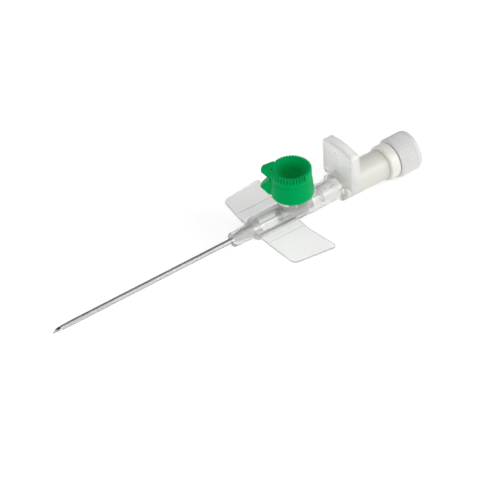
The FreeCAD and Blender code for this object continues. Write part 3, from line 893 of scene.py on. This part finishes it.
class CANNULA_OT_needle(bpy.types.Operator):
    """Steel needle with its ground lancet point"""
    bl_idname = "cannula.needle"
    bl_label = "Needle"

    def execute(self, context):
        stuff = materials(context.scene)
        front = mm(NEEDLE_LOW.x)
        back = mm(NEEDLE_HIGH.x)
        radius = 0.48
        bore = 0.34
        needle = turned("needle_tube", [
            (front, bore), (front, radius), (back, radius, 0.03), (back, bore, 0.03),
        ], steps=64)
        tip = Matrix.Translation((front, 0, 0))
        drawing = laid_along(X_AXIS, Z_AXIS, -Y_AXIS)
        bevel = (0.0, 2 * radius / 2.3, radius)
        # A steeper grind on either side of the point, after the long bevel
        sides = [(turn, 0.577, 0.393) for turn in (35.0, -35.0)]
        cuts = []
        for turn, slope, drop in [bevel] + sides:
            reach = 4 * radius
            cut = slab("grind", [
                (-radius, -drop - slope * radius), (reach / slope, reach - drop), (-radius, 3.0),
            ], -3.0, 3.0)
            cut.data.transform(tip @ Matrix.Rotation(math.radians(turn), 4, "X") @ drawing)
            cuts.append(cut)
        combined(needle, cuts, "DIFFERENCE")
        settle(needle, "needle_set", stuff["steel"], ["needle"], sharp=30.0)
        return {"FINISHED"}


class CANNULA_OT_grip(bpy.types.Operator):
    """Clear needle hub: male luer, upright grip plate and blood chamber"""
    bl_idname = "cannula.grip"
    bl_label = "Grip plate and chamber"

    def execute(self, context):
        soft = mm(context.scene.cannula_sizes.softness)
        stuff = materials(context.scene)
        front = mm(GRIP_LOW.x)
        plate = mm(HUB_HIGH.x) + 0.25
        back = plate + 2.6
        chamber = -mm(GRIP_LOW.z)
        end = mm(GRIP_HIGH.x)
        grip = turned("grip", [
            (front, 0), (front, 1.961, 0.1), (plate, 2.128), (plate, chamber, 0.2),
            (end, chamber, soft), (end, 0),
        ], closed=False, steps=128)
        upright = laid_along(Y_AXIS, Z_AXIS, X_AXIS)
        sheet = slab("plate", [
            (5.5, 1.4), (5.5, 11.2, 1.0), (2.75, 11.725, 0.6), (0, 11.9, 0.6), (-2.75, 11.725, 0.6),
            (-5.5, 11.2, 1.0), (-5.5, 1.4), (-2.95, 1.4), (0, 3.4), (2.95, 1.4),
        ], plate + 0.01, back, soft, upright)
        face = 1.0
        hollow = slab("plate_hollow", [
            (4.6, chamber, 0.2), (4.6, 10.3, 0.5), (0, 11.0, 0.5), (-4.6, 10.3, 0.5),
            (-4.6, chamber, 0.2),
        ], plate + face, back + PAST, 0.12, upright)
        combined(sheet, [hollow], "DIFFERENCE")
        combined(grip, [sheet], "UNION")

        wall = 0.9
        inner = chamber - wall
        room = turned("chamber_room", [
            (back + 0.8, 0), (back + 0.8, inner, 0.4), (end + PAST, inner), (end + PAST, 0),
        ], closed=False)
        needle = 0.49
        bore = turned("needle_bore", [
            (front - PAST, 0), (front - PAST, needle), (back + 2.0, needle), (back + 2.0, 0),
        ], closed=False, steps=64)
        combined(grip, [room, bore], "DIFFERENCE")
        settle(grip, "needle_set", stuff["clear_needle_hub"], ["needle_hub"])
        return {"FINISHED"}


class CANNULA_OT_plug(bpy.types.Operator):
    """Milky vent plug with its flange and luer socket, and the round filter inside it"""
    bl_idname = "cannula.plug"
    bl_label = "Vent plug and filter"

    def execute(self, context):
        soft = mm(context.scene.cannula_sizes.softness)
        stuff = materials(context.scene)
        front = mm(PLUG_LOW.x)
        end = mm(PLUG_HIGH.x)
        seat = front + 2.5
        back = seat + 2.7
        flange = mm(PLUG_HIGH.z) - 0.02
        spigot = 2.94
        socket = 2.9
        room = 2.14
        vent = 1.1
        plug = turned("plug", [
            (front, room), (front, spigot, 0.2), (seat, spigot), (seat, flange, 0.4),
            (back, flange, 0.35), (back, socket, 0.1), (end, socket, soft), (end, 2.15, 0.1),
            (end - 6.0, 1.97), (end - 6.0, vent), (seat - 0.8, vent), (seat - 0.8, room),
        ], steps=128)
        combined(plug, lock_lugs("plug_lug", end, root=2.5), "UNION")
        settle(plug, "needle_set", stuff["milky_plug"], ["vent_plug"])

        low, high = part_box("vent_filter")
        near = mm(low.x)
        far = mm(high.x)
        radius = mm(high.z)
        disc = turned("filter_disc", [
            (near, 0), (near, radius, 0.08), (far, radius, 0.08), (far, 0),
        ], closed=False, steps=64)
        settle(disc, "needle_set", stuff["filter"], ["vent_filter"])
        return {"FINISHED"}


class CANNULA_OT_luer_cap(bpy.types.Operator):
    """White luer cap: ribbed skirt, closed end and the cone inside"""
    bl_idname = "cannula.luer_cap"
    bl_label = "Luer cap"

    def execute(self, context):
        sizes = context.scene.cannula_sizes
        stuff = materials(context.scene)
        front = mm(CAP_LOW.x)
        end = mm(CAP_HIGH.x)
        skirt = front + 0.75
        outer = mm(CAP_HIGH.z) - 0.01
        floor = end - 1.4
        bore = 4.05
        cap = turned("white_cap", [
            (front, 0), (front, 1.97, 0.2), (floor, 2.132), (floor, bore, 0.2),
            (skirt, bore, 0.15), (skirt, outer - 0.22, 0.25), (end - 1.6, outer - 0.16, 0.1),
            (end - 1.3, outer, 0.2), (end, outer, 0.75),
            (end, 3.6, 0.1), (end - 0.2, 3.45, 0.1), (end - 0.2, 0),
        ], closed=False, steps=144)
        settle(cap, "rear_cap", stuff["white_cap"], ["luer_cap"])

        tree, sockets = ridge_tree()
        rib = mm(sizes.rib_radius)
        grip = ridges("cap_ribs", tree, sockets, {
            "Count": sizes.rib_count, "First angle": 0.0, "Step angle": math.tau / sizes.rib_count,
            "Ring radius": outer - rib, "Ridge radius": rib * 0.8, "Ridge end radius": rib,
            "Ridge length": end - skirt - 1.9, "Base level": skirt + 0.5,
            "Material": stuff["white_cap"]})
        grip.data.transform(laid_along(Y_AXIS, Z_AXIS, X_AXIS))
        settle(grip, "rear_cap", stuff["white_cap"], sharp=50.0)
        return {"FINISHED"}


# Stage

def ray_level(tree, camera, seen, lit):
    """Strength that differs between camera rays, mirrored or refracted rays, and light.

    Each level is a number or the output that gives it.
    """
    path = add_node(tree, "ShaderNodeLightPath").outputs
    either = calculated(tree, "MAXIMUM", path["Is Glossy Ray"], path["Is Transmission Ray"])
    return spread(tree, path["Is Camera Ray"], spread(tree, either, lit, seen), camera)


class CANNULA_OT_stage(bpy.types.Operator):
    """Pale floor, soft lamps, the world and the camera"""
    bl_idname = "cannula.stage"
    bl_label = "Stage"

    def lamp(self, name, spot, target, size, power):
        """Round lamp at a spot, aimed at a target."""
        data = bpy.data.lights.new(name, "AREA")
        data.shape = "DISK"
        data.size = size
        data.energy = power
        lamp = in_scene(name, data)
        lamp.location = spot
        lamp.rotation_euler = (Vector(target) - Vector(spot)).to_track_quat("-Z", "Y").to_euler()

    def floor(self, colour, reach=0.35, glow=0.42):
        """Square floor under the lowest piece, which glows a little but lights nothing."""
        builder = bmesh.new()
        ground = CAP_LOW.z - 0.00002
        corners = [builder.verts.new((x, y, ground))
                   for x, y in ((-reach, -reach), (reach, -reach), (reach, reach), (-reach, reach))]
        builder.faces.new(corners)
        mesh = bpy.data.meshes.new("floor")
        builder.to_mesh(mesh)
        builder.free()
        floor = in_scene("floor", mesh)
        finish = bpy.data.materials.new("floor")
        finish.use_nodes = True
        tree = finish.node_tree
        shader = tree.nodes["Principled BSDF"]
        shader.inputs["Base Color"].default_value = (*colour, 1.0)
        shader.inputs["Roughness"].default_value = 0.9
        shader.inputs["Emission Color"].default_value = (1.0, 1.0, 1.0, 1.0)
        tree.links.new(ray_level(tree, glow, glow, 0.0), shader.inputs["Emission Strength"])
        mesh.materials.append(finish)

    def towards(self, tree, heading, reach, away, near):
        """Level that changes from away to near in the directions close to a heading."""
        direction = add_node(tree, "ShaderNodeTexCoord").outputs["Generated"]
        across = add_node(tree, "ShaderNodeVectorMath", {
            0: direction, 1: Vector(heading).normalized()}, operation="DOT_PRODUCT")
        return spread(tree, across.outputs["Value"], away, near, *reach, curve="SMOOTHSTEP")

    def world(self, scene):
        """White room, dark in one part for mirrored and refracted rays, dimmer from above.

        The dark part is high behind the object, as the camera sees it.
        """
        world = bpy.data.worlds.new("white_room")
        world.use_nodes = True
        tree = world.node_tree
        background = tree.nodes["Background"]
        background.inputs["Color"].default_value = (1.0, 1.0, 1.0, 1.0)
        mirrored = self.towards(tree, (0.3, 0.75, 0.6), (0.4, 0.85), away=0.92, near=0.1)
        lighting = self.towards(tree, (0, 0, 1), (0.05, 0.9), away=0.9, near=0.4)
        tree.links.new(ray_level(tree, 1.0, mirrored, lighting), background.inputs["Strength"])
        scene.world = world

    def camera(self, scene):
        """Camera at the photograph's viewing angle, fitted to corners seen there."""
        data = bpy.data.cameras.new("camera")
        data.lens = 112.47
        data.sensor_width = 36.0
        data.clip_start = 0.01
        data.clip_end = 20.0
        right = Vector((0.8179, -0.5714, -0.0681)).normalized()
        back = Vector((-0.3925, -0.6406, 0.66)).normalized()
        up = back.cross(right)
        camera = in_scene("camera", data)
        spot = Matrix.Translation((-0.1337, -0.2222, 0.2278))
        camera.matrix_world = spot @ laid_along(right, up, back)
        scene.camera = camera

    def execute(self, context):
        scene = context.scene
        scene.view_settings.view_transform = "Standard"
        self.floor(scene.cannula_colours.floor)
        self.world(scene)
        target = (0.01, 0, 0)
        self.lamp("key_light", (0.42, -0.42, 0.26), target, size=0.4, power=1.7)
        self.lamp("left_light", (-0.5, -0.1, 0.3), target, size=0.35, power=0.55)
        self.camera(scene)
        return {"FINISHED"}


class CANNULA_PT_pieces(bpy.types.Panel):
    """Lists the sizes, the colours and the pieces"""
    bl_idname = "CANNULA_PT_pieces"
    bl_label = "Cannula"
    bl_space_type = "VIEW_3D"
    bl_region_type = "UI"
    bl_category = "Cannula"

    def draw(self, context):
        layout = self.layout
        for group in (context.scene.cannula_sizes, context.scene.cannula_colours):
            box = layout.box()
            for name in group.bl_rna.properties.keys():
                if name not in ("rna_type", "name"):
                    box.prop(group, name)
        for operator in OPERATORS:
            layout.operator(operator.bl_idname)


OPERATORS = (CANNULA_OT_stage, CANNULA_OT_tube, CANNULA_OT_hub, CANNULA_OT_valve,
             CANNULA_OT_port_cap, CANNULA_OT_needle, CANNULA_OT_grip, CANNULA_OT_plug,
             CANNULA_OT_luer_cap)
CLASSES = (CannulaSizes, CannulaColours) + OPERATORS + (CANNULA_PT_pieces,)


def register():
    for item in CLASSES:
        bpy.utils.register_class(item)
    bpy.types.Scene.cannula_sizes = PointerProperty(type=CannulaSizes)
    bpy.types.Scene.cannula_colours = PointerProperty(type=CannulaColours)


def unregister():
    del bpy.types.Scene.cannula_colours
    del bpy.types.Scene.cannula_sizes
    for item in reversed(CLASSES):
        bpy.utils.unregister_class(item)


def main():
    register()
    bpy.ops.cannula.stage()
    bpy.ops.cannula.tube()
    bpy.ops.cannula.hub()
    bpy.ops.cannula.valve()
    bpy.ops.cannula.port_cap()
    bpy.ops.cannula.needle()
    bpy.ops.cannula.grip()
    bpy.ops.cannula.plug()
    bpy.ops.cannula.luer_cap()


if __name__ == "__main__":
    main()
